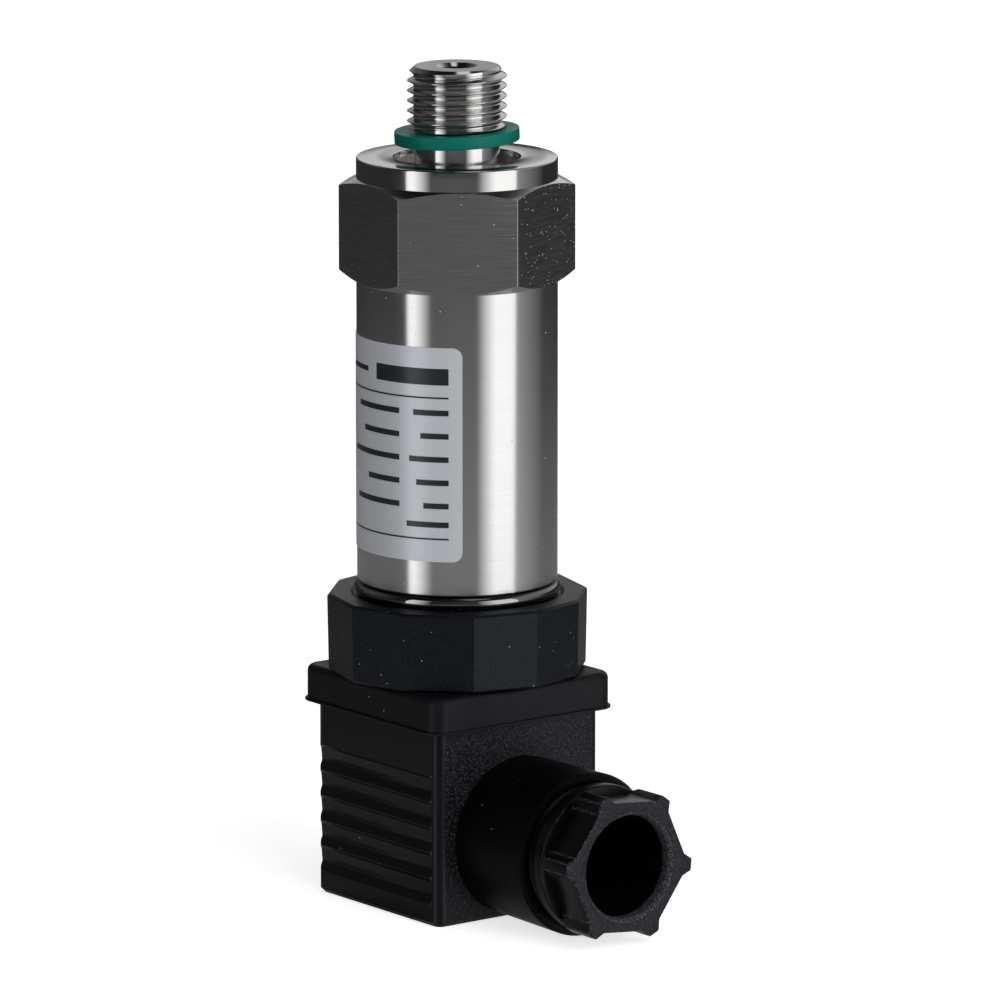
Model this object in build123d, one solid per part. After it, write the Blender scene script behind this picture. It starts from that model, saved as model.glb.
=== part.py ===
# Pressure sensor: a stainless pressure transmitter with a threaded stud on top
# and a square plug with a cable gland below. All sizes are millimetres.
# The sensor's axis is Z, its sealing face is at height zero and the gland points along +X.
import os
from math import cos, radians, sin, tan

from build123d import *

os.makedirs("parts", exist_ok=True)

# Clearances
running_gap = 0.05      # round pieces that turn or slide in each other
slip_gap = 0.1          # pieces that slip together by hand
loose_gap = 0.3         # moulded pieces that must never bind
film_gap = 0.02         # a piece glued or pressed onto a round wall
overshoot = 1.0         # how far a shape that cuts or joins runs past its mark

# Process connection: stud, collar and hexagon, turned from one bar
thread_diameter = 13.157
thread_length = 7.6
stud_length = 12.0
stud_bevel = 1.0
relief_radius = 5.63
channel_radius = 2.25
channel_bevel = 0.45
groove_radius = 8.43
groove_depth = 1.0
collar_height = 2.75
hex_across_flats = 27.0
hex_height = 13.65
hex_top_slope = 25.0    # degrees
hex_bottom_slope = 30.0
hex_turn = -6.7         # degrees from the gland to a corner of the hexagon
spigot_length = 5.0
spigot_wall = 2.0

# Profile ring, pushed up to the last thread and slightly tilted
ring_radius = 8.25
ring_height = 1.66
ring_land = 1.6         # width of the flat top between the rim and the inner bevel
ring_lip = 0.5
ring_level = 2.8        # height of its middle above the sealing face
ring_tilt = 2.2         # degrees
ring_lean = -37.4       # degrees from the gland to the line it tilts about

# Tube and label
body_radius = 13.3
body_wall = 1.3
body_length = 40.1
rim_bevel = 0.25
label_height = 28.5
label_level = -23.3     # height of its upper edge
label_start = -34.2     # degrees from the gland to its right edge
label_sweep = 197.0
label_thickness = 0.08
label_corner = 1.3

# Pressure cell and what holds it
cell_height = 6.35
cell_chamber = 4.5      # radius of the thin diaphragm
cell_chamber_depth = 0.3
cell_pocket_level = -9.5
cell_seal_section = 1.5
cell_seal_inset = 2.4    # from the cell's edge to the middle of its seal
cell_ledge = 1.0        # how much wider the retainer is than the cell
retainer_width = 3.4
retainer_height = 3.0
retainer_slot = 2.0
pin_radius = 0.35
pin_circle = 4.6
pin_stub = 0.8          # how far a pin stands out of its board

# Electronics
board_gap = 0.4         # from a board's edge to the tube
board_thickness = 1.6
board_spacing = 12.0
spacer_radius = 1.5
spacer_inset = 2.3      # from a board's edge to the middle of a spacer
link_pin_radius = 0.32
link_pin_pitch = 2.54
link_pin_inset = 5.2    # from a board's edge to the row of pins
chip_length = 5.0
chip_width = 4.0
chip_height = 1.5
capacitor_radius = 2.0
capacitor_height = 5.0
capacitor_pitch = 5.2
resistor_length = 2.0
resistor_width = 1.25
resistor_height = 0.6
resistor_pitch = 2.5
resistor_row = 5.2      # distance of the row of resistors from the axis
lead_radius = 0.6
lead_circle = 5.5       # where the leads leave the lower board
lead_straight = 0.3     # share of the way that a lead runs straight at each end
lead_bend = 3.6

# Connector base, a twelve-sided flange with a threaded neck inside the tube
flange_radius = 17.4    # to a corner of its upper edge
flange_height = 10.5
flange_draft = 1.0      # degrees
flange_bevel = 0.35
flange_seat_margin = 0.44   # how much wider the seat is than the tube
flange_seat_depth = 0.35
flange_seat_bevel = 0.45
rim_gap = 1.7           # from the tube's rim to the flange
neck_length = 6.5
neck_wall = 2.0
neck_relief = 0.3       # how much smaller the neck is where its sealing ring sits
base_floor = 8.3
boss_inset = 3.5        # from the plug's side to the boss
bush_radius = 2.6
bush_length = 8.0

# Flat contact blades
blade_width = 6.3
blade_thickness = 0.8
blade_reach = 10.5
tail_gap = 0.9          # from the middle of a tail to the wall of the neck
blade_root = 2.7
blade_tip_bevel = 0.25
tail_width = 2.4
tail_reach = 4.4
blade_names = ("first", "second", "third", "earth")
blade_angles = (0, 90, 270, 180)   # degrees from the gland

# Square plug, its gasket and its waves
gasket_skirt = 1.4
gasket_corner = 2.25
gasket_web = 2.6
gasket_height = 4.9
gasket_edge = 0.9
gasket_flash = 0.35
plug_width = 27.0
plug_corner = 1.5
plug_edge = 0.6
plug_height = 28.6
plug_wall = 2.0
plug_floor = 3.0
plug_inner_corner = 0.8
wave_count = 5
wave_pitch = 3.46
wave_depth = 0.55
wave_span = 3.2         # width of one hollow
wave_level = 4.7        # middle of the lowest hollow above the plug's end face
wave_margin = 1.3       # plain strip beside the gland's face

# Contact insert and its screw terminals
insert_gap = 0.2
insert_height = 15.2
insert_roof = 1.3
terminal_rim = 0.6      # from a terminal to the insert's side
terminal_width = 7.4
terminal_depth = 3.4
terminal_height = 11.1
foot_width = 5.6
foot_depth = 3.2        # how far the screw foot reaches towards the axis, with room to do so
foot_height = 3.2
terminal_screw_radius = 1.25
terminal_head_radius = 2.3
terminal_head_height = 1.5
terminal_screw_inset = 2.4   # from a blade to the screw of its terminal
screw_slot = 0.7

# Central fixing screw
screw_radius = 1.5
screw_head_radius = 2.75
screw_head_height = 2.3
screw_bite = 6.0        # length of thread held in the bush
screw_point = 0.4
screw_hole_radius = 1.7
washer_radius = 3.3
washer_thickness = 0.5
recess_radius = 3.7
recess_depth = 4.2
column_radius = 4.6

# Cable gland
gland_reach = 28.0      # from the sensor's axis to the mouth of the plug's neck
gland_root_radius = 10.6
gland_rim_radius = 10.9
gland_edge = 0.4
gland_bore_radius = 9.35
grommet_pocket_radius = 8.8
cable_hole_radius = 6.0
grommet_ledge = 0.4     # how far the grommet reaches into the plug's wall
grommet_hole_radius = 4.6
grommet_groove = 0.8
clamp_thickness = 1.0
clamp_hole_radius = 5.6
nut_gap = 1.2           # from the neck's mouth to the nut's collar, as it is shown
nut_shank_length = 7.8
nut_collar_radius = 9.9
nut_collar_length = 2.0
nut_head_length = 5.9
nut_flat_radius = 8.6   # middle of a flat of the head
nut_lug_radius = 10.4
nut_lug_width = 3.0
nut_lug_flare = 0.4     # how much wider a lug is at its root, each side
nut_lug_shoulder = 0.9  # where the taper starts, in from the head's corner
nut_lug_tip = 1.6
nut_lug_bevel = 0.8
nut_hole_radius = 6.76
nut_lip = 0.8
nut_turn = -6.0         # degrees from +Y to the nearest lug

# Widths that follow from the sizes above
collar_radius = body_radius
tube_bore = body_radius - body_wall
retainer_radius = tube_bore - spigot_wall
retainer_hole = retainer_radius - retainer_width
cell_radius = retainer_radius - cell_ledge
cell_seal_radius = cell_radius - cell_seal_inset
board_radius = tube_bore - board_gap
spacer_circle = board_radius - spacer_inset
link_pin_row = link_pin_inset - board_radius
flange_seat_radius = body_radius + flange_seat_margin
neck_radius = tube_bore - slip_gap
neck_bore = neck_radius - neck_wall
plug_half = plug_width / 2
gasket_width = plug_width + 2 * gasket_skirt
boss_width = plug_width - 2 * boss_inset
insert_width = plug_width - 2 * (plug_wall + insert_gap)
# The blades stand as far out as both the insert and the neck have room for their terminals and tails
blade_circle = min(insert_width / 2 - terminal_rim - terminal_depth / 2, neck_bore - tail_gap)
foot_reach = min(foot_depth, blade_circle - (terminal_depth + foot_width) / 2 - loose_gap)
terminal_screw_circle = blade_circle - terminal_screw_inset

# Heights and lengths that follow from the sizes above
hex_top = -collar_height
tube_top = hex_top - hex_height
tube_rim = tube_top - body_length
flange_top = tube_rim - rim_gap
flange_bottom = flange_top - flange_height
floor_level = flange_bottom + base_floor
neck_top = flange_top + neck_length
plug_top = flange_bottom - gasket_web
boss_face = plug_top + loose_gap
blade_shoulder = flange_bottom + blade_root
plug_bottom = plug_top - plug_height
plug_inside = plug_bottom + plug_floor
insert_top = plug_top
insert_bottom = insert_top - insert_height
terminal_top = insert_top - insert_roof
terminal_bottom = terminal_top - terminal_height
gland_level = plug_bottom + gland_rim_radius
spigot_end = tube_top - spigot_length
cell_top = cell_pocket_level - slip_gap
cell_bottom = cell_top - cell_height
retainer_bottom = cell_bottom - retainer_height
upper_board_top = spigot_end
upper_board_bottom = upper_board_top - board_thickness
lower_board_top = upper_board_bottom - board_spacing
lower_board_bottom = lower_board_top - board_thickness
tail_top = floor_level + tail_reach
washer_level = plug_bottom + recess_depth
head_level = washer_level - washer_thickness
nut_back = gland_reach + nut_gap
nut_front = nut_back + nut_collar_length + nut_head_length
shank_end = nut_back - nut_shank_length
grommet_seat = plug_half - grommet_ledge
grommet_end = shank_end - clamp_thickness - nut_gap - slip_gap


def turned(outline):
    """A solid turned from an outline of (radius, height) points."""
    with BuildPart() as part:
        with BuildSketch(Plane.XZ):
            with BuildLine():
                Polyline(*outline, close=True)
            make_face()
        revolve(axis=Axis.Z)
    return part.part


def disc(radius, low, high):
    """An upright cylinder between two heights."""
    return Pos(0, 0, (low + high) / 2) * Cylinder(radius, high - low)


def tube(outer, inner, low, high):
    """An upright ring between two heights."""
    return disc(outer, low, high) - disc(inner, low - overshoot, high + overshoot)


def ring_of(piece, count):
    """Copies of a piece spaced evenly about the sensor's axis."""
    return [Rot(0, 0, 360 / count * index) * piece for index in range(count)]


def group(pieces):
    """Separate solids that share one file."""
    return Compound(children=list(pieces))


def box_between(low, high):
    """A block given by its lowest and highest corners."""
    size = [top - bottom for bottom, top in zip(low, high)]
    middle = [(top + bottom) / 2 for bottom, top in zip(low, high)]
    return Pos(*middle) * Box(*size)


def square_prism(width, corner, low, high):
    """An upright square block with rounded upright edges."""
    sketch = Pos(0, 0, low) * RectangleRounded(width, width, corner)
    return extrude(sketch, high - low)


def along_gland(solid):
    """Lays a piece that was made upright on the gland's axis, its height along +X."""
    return Pos(0, 0, gland_level) * Rot(0, 90, 0) * solid


def hexagon_cap():
    """The hexagon with its corners turned off above and below."""
    corner = hex_across_flats / 2 / cos(radians(30))
    reach = corner + overshoot
    top_drop = (reach - collar_radius) * tan(radians(hex_top_slope))
    bottom_drop = (reach - body_radius) * tan(radians(hex_bottom_slope))
    blank = turned([
        (0, tube_top),
        (body_radius, tube_top),
        (reach, tube_top + bottom_drop),
        (reach, hex_top - top_drop),
        (collar_radius, hex_top),
        (0, hex_top),
    ])
    prism = extrude(Pos(0, 0, tube_top) * RegularPolygon(corner, 6, rotation=hex_turn), hex_height)
    return blank & prism


def pressure_port():
    """Stud, collar, hexagon and the spigot that centres the tube, with the pressure channel through all."""
    thread_radius = thread_diameter / 2
    stud = turned([
        (0, -groove_depth),
        (relief_radius, -groove_depth),
        (relief_radius, stud_length - thread_length - (thread_radius - relief_radius)),
        (thread_radius, stud_length - thread_length),
        (thread_radius, stud_length - stud_bevel),
        (thread_radius - stud_bevel, stud_length),
        (0, stud_length),
    ])
    collar = disc(collar_radius, hex_top, 0) - tube(groove_radius, relief_radius, -groove_depth, overshoot)
    collar = chamfer(collar.edges().filter_by(GeomType.CIRCLE).filter_by(
        lambda edge: edge.radius > collar_radius - 0.01).sort_by(Axis.Z)[-1], rim_bevel)
    spigot = disc(tube_bore - film_gap, spigot_end, tube_top)
    body = stud + collar + hexagon_cap() + spigot
    channel = disc(channel_radius, cell_pocket_level - overshoot, stud_length + overshoot)
    mouth = turned([
        (0, stud_length - channel_bevel),
        (channel_radius, stud_length - channel_bevel),
        (channel_radius + channel_bevel, stud_length),
        (channel_radius + channel_bevel, stud_length + overshoot),
        (0, stud_length + overshoot),
    ])
    pocket = disc(cell_radius + running_gap, cell_bottom, cell_pocket_level)
    seal_groove = tube(
        cell_seal_radius + cell_seal_section / 2 + running_gap,
        cell_seal_radius - cell_seal_section / 2 - running_gap,
        cell_pocket_level - overshoot,
        cell_top + cell_seal_section,
    )
    retainer_bore = disc(retainer_radius + running_gap, spigot_end - overshoot, cell_bottom)
    return body - channel - mouth - pocket - seal_groove - retainer_bore


def profile_ring():
    """The sealing ring with a thin inner lip, as it sits askew under the last thread."""
    inner = relief_radius + running_gap
    half = ring_height / 2
    ring = turned([
        (inner, -ring_lip / 2),
        (ring_radius - ring_land, -half),
        (ring_radius, -half),
        (ring_radius, half),
        (ring_radius - ring_land, half),
        (inner, ring_lip / 2),
    ])
    lean_axis = Axis((0, 0, 0), (cos(radians(ring_lean)), sin(radians(ring_lean)), 0))
    return Pos(0, 0, ring_level) * ring.rotate(lean_axis, ring_tilt)


def body_tube():
    """The thin-walled case between the hexagon and the connector base."""
    return turned([
        (tube_bore, tube_top),
        (body_radius, tube_top),
        (body_radius, tube_rim + rim_bevel),
        (body_radius - rim_bevel, tube_rim),
        (tube_bore, tube_rim),
    ])


def type_label():
    """The sticker wrapped round the tube, from its right edge at the gland's side, with rounded corners."""
    inner = body_radius + film_gap
    low = label_level - label_height
    with BuildPart() as band:
        with BuildSketch(Plane.XZ):
            with Locations((inner + label_thickness / 2, low + label_height / 2)):
                Rectangle(label_thickness, label_height)
        revolve(axis=Axis.Z, revolution_arc=label_sweep)
    sheet = Rot(0, 0, label_start - label_sweep) * band.part
    block = box_between((-overshoot, -label_corner, -label_corner), (overshoot, 0, 0))
    rounding = Rot(0, 90, 0) * Cylinder(label_corner, 4 * overshoot)
    notch = block - Pos(0, -label_corner, -label_corner) * rounding
    for angle, flip_side in ((label_start, False), (label_start - label_sweep, True)):
        cutter = mirror(notch, about=Plane.XZ) if flip_side else notch
        sheet = sheet - Rot(0, 0, angle) * Pos(inner, 0, label_level) * cutter
        sheet = sheet - Rot(0, 0, angle) * Pos(inner, 0, low) * mirror(cutter, about=Plane.XY)
    return sheet


def sensing_cell():
    """Ceramic pressure cell: a thick disc with a thin diaphragm over a shallow chamber."""
    chamber = disc(cell_chamber, cell_top - cell_chamber_depth, cell_top + overshoot)
    return disc(cell_radius, cell_bottom, cell_top) - chamber


def cell_seal_ring():
    """Round-section ring that seals the cell against the port."""
    section = cell_seal_section / 2
    return Pos(0, 0, cell_top + section) * Torus(cell_seal_radius, section)


def cell_retainer():
    """Threaded ring that holds the cell up, with two slots for its key."""
    ring = tube(retainer_radius, retainer_hole, retainer_bottom, cell_bottom)
    slot = box_between((-retainer_radius - overshoot, -retainer_slot / 2, retainer_bottom - overshoot),
                       (retainer_radius + overshoot, retainer_slot / 2,
                        retainer_bottom + retainer_height / 2))
    return ring - slot


def circuit_board(top, posts, extra_holes):
    """A round board between two levels, drilled for what passes through it."""
    board = disc(board_radius, top - board_thickness, top)
    for radius, places in ((pin_radius, posts), (link_pin_radius, extra_holes)):
        for x, y in places:
            drill = disc(radius + running_gap, top - board_thickness - overshoot, top + overshoot)
            board = board - Pos(x, y, 0) * drill
    return board


def cell_pin_places():
    """Where the cell's pins stand."""
    return [(pin_circle * cos(radians(45 + 90 * step)), pin_circle * sin(radians(45 + 90 * step)))
            for step in range(4)]


def link_pin_places():
    """Where the pins between the boards stand."""
    return [(link_pin_row, link_pin_pitch * (step - 1.5)) for step in range(4)]


def cell_pins():
    """Pins from the cell to the upper board."""
    pin = disc(pin_radius, upper_board_bottom - pin_stub, cell_bottom)
    return group(Pos(x, y, 0) * pin for x, y in cell_pin_places())


def link_pins():
    """Pins that join the two boards."""
    pin = disc(link_pin_radius, lower_board_bottom - pin_stub, upper_board_top)
    return group(Pos(x, y, 0) * pin for x, y in link_pin_places())


def board_spacers():
    """Posts that hold the boards apart."""
    post = disc(spacer_radius, lower_board_top, upper_board_bottom)
    return group(ring_of(Pos(spacer_circle, 0, 0) * post, 3))


def amplifier_chip():
    """The chip under the upper board."""
    return box_between((-chip_length / 2, -chip_width / 2, upper_board_bottom - chip_height),
                       (chip_length / 2, chip_width / 2, upper_board_bottom))


def filter_capacitors():
    """Round capacitors standing on the lower board."""
    can = disc(capacitor_radius, lower_board_top, lower_board_top + capacitor_height)
    return group(Pos(0, side * capacitor_pitch / 2, 0) * can for side in (-1, 1))


def chip_resistors():
    """Small resistors in a row on the lower board."""
    block = box_between((-resistor_length / 2, -resistor_width / 2, lower_board_top),
                        (resistor_length / 2, resistor_width / 2, lower_board_top + resistor_height))
    return group(Pos(resistor_row, resistor_pitch * (step - 1), 0) * block for step in range(3))


def signal_lead(angle):
    """An insulated wire from the lower board, out and down to the tail of one blade."""
    start = lower_board_bottom
    straight = (start - tail_top) * lead_straight
    with BuildPart() as lead:
        with BuildLine():
            path = FilletPolyline(
                (lead_circle, 0, start),
                (lead_circle, 0, start - straight),
                (blade_circle, 0, tail_top + straight),
                (blade_circle, 0, tail_top),
                radius=lead_bend,
            )
        with BuildSketch(Plane((lead_circle, 0, start), z_dir=(0, 0, -1))):
            Circle(lead_radius)
        sweep(path=path)
    return Rot(0, 0, angle) * lead.part


def blade_outline(width, thickness, low, high, swell=0.0):
    """A flat bar that stands at the blades' distance from the axis."""
    return box_between((blade_circle - thickness / 2 - swell, -width / 2 - swell, low),
                       (blade_circle + thickness / 2 + swell, width / 2 + swell, high))


def contact_blade(angle):
    """A flat blade below the base, with a narrow tail inside it for the wire."""
    blade = blade_outline(blade_width, blade_thickness, boss_face - blade_reach, blade_shoulder)
    blade = chamfer(blade.faces().sort_by(Axis.Z)[0].edges(), blade_tip_bevel)
    tail = blade_outline(tail_width, blade_thickness, blade_shoulder, tail_top)
    return Rot(0, 0, angle) * (blade + tail)


def connector_base():
    """Twelve-sided flange, the threaded neck inside the tube and the square boss that carries the blades."""
    top = RegularPolygon(flange_radius, 12)
    flange = extrude(Pos(0, 0, flange_top) * top, -flange_height, taper=flange_draft)
    rims = flange.faces().sort_by(Axis.Z)
    flange = chamfer(rims[0].edges() + rims[-1].edges(), flange_bevel)
    seat = turned([
        (0, flange_top - flange_seat_depth),
        (flange_seat_radius, flange_top - flange_seat_depth),
        (flange_seat_radius, flange_top - flange_seat_bevel),
        (flange_seat_radius + flange_seat_bevel, flange_top),
        (flange_seat_radius + flange_seat_bevel, flange_top + overshoot),
        (0, flange_top + overshoot),
    ])
    neck = disc(neck_radius - neck_relief, flange_top - overshoot, tube_rim)
    neck = neck + disc(neck_radius, tube_rim, neck_top)
    boss = square_prism(boss_width, plug_corner, boss_face, flange_bottom + overshoot)
    base = flange - seat + neck + boss
    base = base - disc(neck_bore, floor_level, neck_top + overshoot)
    base = base - disc(bush_radius + film_gap, boss_face - overshoot, boss_face + bush_length)
    socket = blade_outline(blade_width, blade_thickness, boss_face - overshoot, blade_shoulder, film_gap)
    passage = blade_outline(tail_width, blade_thickness, blade_shoulder - overshoot,
                            floor_level + overshoot, film_gap)
    for angle in blade_angles:
        base = base - Rot(0, 0, angle) * socket - Rot(0, 0, angle) * passage
    return base


def base_seal_ring():
    """Round-section ring squeezed between the tube's rim and the flange."""
    section = (tube_rim - (flange_top - flange_seat_depth)) / 2
    return Pos(0, 0, tube_rim - section) * Torus(flange_seat_radius - section - slip_gap / 2, section)


def threaded_bush():
    """Metal bush in the base that takes the fixing screw."""
    return tube(bush_radius, screw_radius + running_gap, boss_face, boss_face + bush_length)


def profile_gasket():
    """Flat square gasket with a skirt over the plug's edge and a fine flash round the skirt's foot."""
    skirt_bottom = flange_bottom - gasket_height
    outer = square_prism(gasket_width, gasket_corner, skirt_bottom, flange_bottom)
    outer = fillet(outer.faces().sort_by(Axis.Z)[-1].edges(), gasket_edge)
    flash = square_prism(gasket_width + 2 * gasket_flash, gasket_corner + gasket_flash,
                         skirt_bottom, skirt_bottom + gasket_flash)
    window = square_prism(boss_width + 2 * loose_gap, plug_corner,
                          plug_top - overshoot, flange_bottom + overshoot)
    inside = square_prism(plug_width + slip_gap, plug_corner, skirt_bottom - overshoot, plug_top)
    return outer + flash - window - inside


def wave_cutters():
    """Long round cutters for the hollows on the plug's two ribbed sides."""
    half_span = wave_span / 2
    radius = (half_span ** 2 + wave_depth ** 2) / (2 * wave_depth)
    length = plug_width - wave_margin + overshoot
    start = -plug_half - overshoot
    cutter = Pos(start + length / 2, 0, 0) * Rot(0, 90, 0) * Cylinder(radius, length)
    cutter = chamfer(cutter.faces().sort_by(Axis.X)[-1].edges(), wave_depth)
    cutters = []
    for side in (-1, 1):
        for step in range(wave_count):
            level = plug_bottom + wave_level + step * wave_pitch
            cutters.append(Pos(0, side * (plug_half + radius - wave_depth), level) * cutter)
    return cutters


def plug_housing():
    """Square housing open above, with the gland's neck, a screw column and waves on two sides."""
    block = square_prism(plug_width, plug_corner, plug_bottom, plug_top)
    block = chamfer(block.faces().sort_by(Axis.Z)[0].edges(), plug_edge)
    for cutter in wave_cutters():
        block = block - cutter
    neck = along_gland(turned([
        (0, 0),
        (gland_root_radius, 0),
        (gland_root_radius, plug_half),
        (gland_rim_radius, gland_reach - gland_edge),
        (gland_rim_radius - gland_edge, gland_reach),
        (0, gland_reach),
    ]))
    block = block + neck
    cavity = square_prism(plug_width - 2 * plug_wall, plug_inner_corner, plug_inside, plug_top + overshoot)
    column = disc(column_radius, plug_bottom + overshoot, insert_bottom)
    bore = along_gland(turned([
        (0, 0),
        (cable_hole_radius, 0),
        (cable_hole_radius, grommet_seat),
        (grommet_pocket_radius, grommet_seat),
        (grommet_pocket_radius, grommet_end),
        (gland_bore_radius, grommet_end),
        (gland_bore_radius, gland_reach - gland_edge),
        (gland_bore_radius + gland_edge, gland_reach),
        (gland_bore_radius + gland_edge, gland_reach + overshoot),
        (0, gland_reach + overshoot),
    ]))
    body = block - cavity - bore + column
    recess = disc(recess_radius, plug_bottom - overshoot, washer_level)
    screw_hole = disc(screw_hole_radius, plug_bottom - overshoot, insert_bottom + overshoot)
    return body - recess - screw_hole


def terminal_block(swell=0.0, open_below=0.0):
    """The outside of one terminal: the upright clip and the foot for its screw."""
    back = blade_circle + terminal_depth / 2
    low = terminal_bottom - open_below
    clip = box_between(
        (back - terminal_depth - swell, -terminal_width / 2 - swell, low),
        (back + swell, terminal_width / 2 + swell, terminal_top),
    )
    foot = box_between(
        (back - terminal_depth - foot_reach - swell, -foot_width / 2 - swell, low),
        (back, foot_width / 2 + swell, terminal_bottom + foot_height + swell),
    )
    return clip + foot


def blade_terminal(angle):
    """Brass terminal: a slot for the blade and a threaded foot for the wire's screw."""
    block = terminal_block()
    slot_end = boss_face - blade_reach - loose_gap
    slot = blade_outline(blade_width, blade_thickness, slot_end, terminal_top + overshoot, slip_gap)
    hole = disc(terminal_screw_radius + running_gap,
                terminal_bottom - overshoot, terminal_bottom + foot_height + overshoot)
    hole = Pos(terminal_screw_circle, 0, 0) * hole
    return Rot(0, 0, angle) * (block - slot - hole)


def terminal_screws():
    """The screws in the feet of the terminals."""
    low = terminal_bottom - terminal_head_height
    screw = disc(terminal_head_radius, low, terminal_bottom)
    screw = screw + disc(terminal_screw_radius, terminal_bottom, terminal_bottom + foot_height)
    slot = box_between((-terminal_head_radius - overshoot, -screw_slot / 2, low - overshoot),
                       (terminal_head_radius + overshoot, screw_slot / 2, low + terminal_head_height / 2))
    screw = Pos(terminal_screw_circle, 0, 0) * (screw - slot)
    return group(Rot(0, 0, angle) * screw for angle in blade_angles)


def contact_insert():
    """Square moulding in the plug that carries the terminals, open below for the wires."""
    block = square_prism(insert_width, plug_corner / 2, insert_bottom, insert_top)
    block = block - disc(screw_hole_radius, insert_bottom - overshoot, insert_top + overshoot)
    pocket = terminal_block(slip_gap / 2, terminal_bottom - insert_bottom + overshoot)
    slot = blade_outline(blade_width, blade_thickness,
                         terminal_top - overshoot, insert_top + overshoot, slip_gap)
    for angle in blade_angles:
        block = block - Rot(0, 0, angle) * pocket - Rot(0, 0, angle) * slot
    return block


def fixing_screw():
    """Long slotted screw through the plug and the insert into the bush."""
    tip = boss_face + screw_bite
    low = head_level - screw_head_height
    screw = disc(screw_head_radius, low, head_level) + disc(screw_radius, head_level, tip)
    screw = chamfer(screw.faces().sort_by(Axis.Z)[-1].edges(), screw_point)
    slot = box_between((-screw_head_radius - overshoot, -screw_slot / 2, low - overshoot),
                       (screw_head_radius + overshoot, screw_slot / 2, low + screw_head_height / 2))
    return screw - slot


def screw_washer():
    """Flat washer under the fixing screw's head."""
    return tube(washer_radius, screw_radius + slip_gap, head_level, washer_level)


def cable_grommet():
    """Rubber bush that grips the cable, with a groove round its outer end."""
    outer = grommet_pocket_radius - running_gap
    middle = (outer + grommet_hole_radius) / 2
    return along_gland(turned([
        (grommet_hole_radius, grommet_seat),
        (outer, grommet_seat),
        (outer, grommet_end),
        (middle + grommet_groove, grommet_end),
        (middle, grommet_end - 2 * grommet_groove),
        (middle - grommet_groove, grommet_end),
        (grommet_hole_radius, grommet_end),
    ]))


def clamp_ring():
    """Thin ring between the gland nut and the grommet."""
    return along_gland(tube(grommet_pocket_radius - running_gap, clamp_hole_radius,
                            shank_end - clamp_thickness, shank_end))


def gland_nut():
    """Six-lugged nut: a threaded shank, a round collar and a head with a lug at each corner."""
    head_back = nut_back + nut_collar_length
    shank = turned([
        (0, shank_end),
        (gland_bore_radius - running_gap - gland_edge, shank_end),
        (gland_bore_radius - running_gap, shank_end + gland_edge),
        (gland_bore_radius - running_gap, nut_back),
        (nut_collar_radius, nut_back),
        (nut_collar_radius, head_back - gland_edge),
        (nut_collar_radius - gland_edge, head_back),
        (0, head_back),
    ])
    corner = nut_flat_radius / cos(radians(30))
    hexagon = Pos(0, 0, head_back - gland_edge) * RegularPolygon(corner, 6)
    head = extrude(hexagon, nut_head_length + gland_edge)
    lug_outline = make_face(Polyline(
        (nut_flat_radius / 2, -nut_lug_width / 2 - nut_lug_flare),
        (corner - nut_lug_shoulder, -nut_lug_width / 2),
        (nut_lug_radius, -nut_lug_tip / 2),
        (nut_lug_radius, nut_lug_tip / 2),
        (corner - nut_lug_shoulder, nut_lug_width / 2),
        (nut_flat_radius / 2, nut_lug_width / 2 + nut_lug_flare),
        close=True,
    ))
    lug = extrude(Pos(0, 0, head_back) * lug_outline, nut_head_length)
    slope = box_between((nut_lug_radius - nut_lug_bevel, -nut_lug_width, head_back - overshoot),
                        (nut_lug_radius + overshoot, nut_lug_width, head_back + nut_lug_bevel))
    lug = lug - slope
    for piece in ring_of(lug, 6):
        head = head + piece
    hole = turned([
        (0, shank_end - overshoot),
        (nut_hole_radius, shank_end - overshoot),
        (nut_hole_radius, nut_front - nut_lip),
        (nut_hole_radius + nut_lip, nut_front),
        (nut_hole_radius + nut_lip, nut_front + overshoot),
        (0, nut_front + overshoot),
    ])
    nut = shank + head - hole
    return along_gland(Rot(0, 0, 90 + nut_turn) * nut)


pieces = {
    "pressure_port": pressure_port(),
    "profile_ring": profile_ring(),
    "body_tube": body_tube(),
    "type_label": type_label(),
    "sensing_cell": sensing_cell(),
    "cell_seal_ring": cell_seal_ring(),
    "cell_retainer": cell_retainer(),
    "cell_pins": cell_pins(),
    "signal_board": circuit_board(upper_board_top, cell_pin_places(), link_pin_places()),
    "output_board": circuit_board(lower_board_top, [], link_pin_places()),
    "link_pins": link_pins(),
    "board_spacers": board_spacers(),
    "amplifier_chip": amplifier_chip(),
    "filter_capacitors": filter_capacitors(),
    "chip_resistors": chip_resistors(),
    "connector_base": connector_base(),
    "base_seal_ring": base_seal_ring(),
    "threaded_bush": threaded_bush(),
    "profile_gasket": profile_gasket(),
    "plug_housing": plug_housing(),
    "contact_insert": contact_insert(),
    "terminal_screws": terminal_screws(),
    "fixing_screw": fixing_screw(),
    "screw_washer": screw_washer(),
    "cable_grommet": cable_grommet(),
    "clamp_ring": clamp_ring(),
    "gland_nut": gland_nut(),
}
for name, angle in zip(blade_names, blade_angles):
    pieces[f"{name}_blade"] = contact_blade(angle)
    pieces[f"{name}_terminal"] = blade_terminal(angle)
    pieces[f"{name}_lead"] = signal_lead(angle)

for node, piece in pieces.items():
    export_step(piece, f"parts/{node}.step")
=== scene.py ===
from math import cos, hypot, pi, radians, sin, sqrt, tan

import bmesh
import bpy
from mathutils import Matrix, Vector


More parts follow.
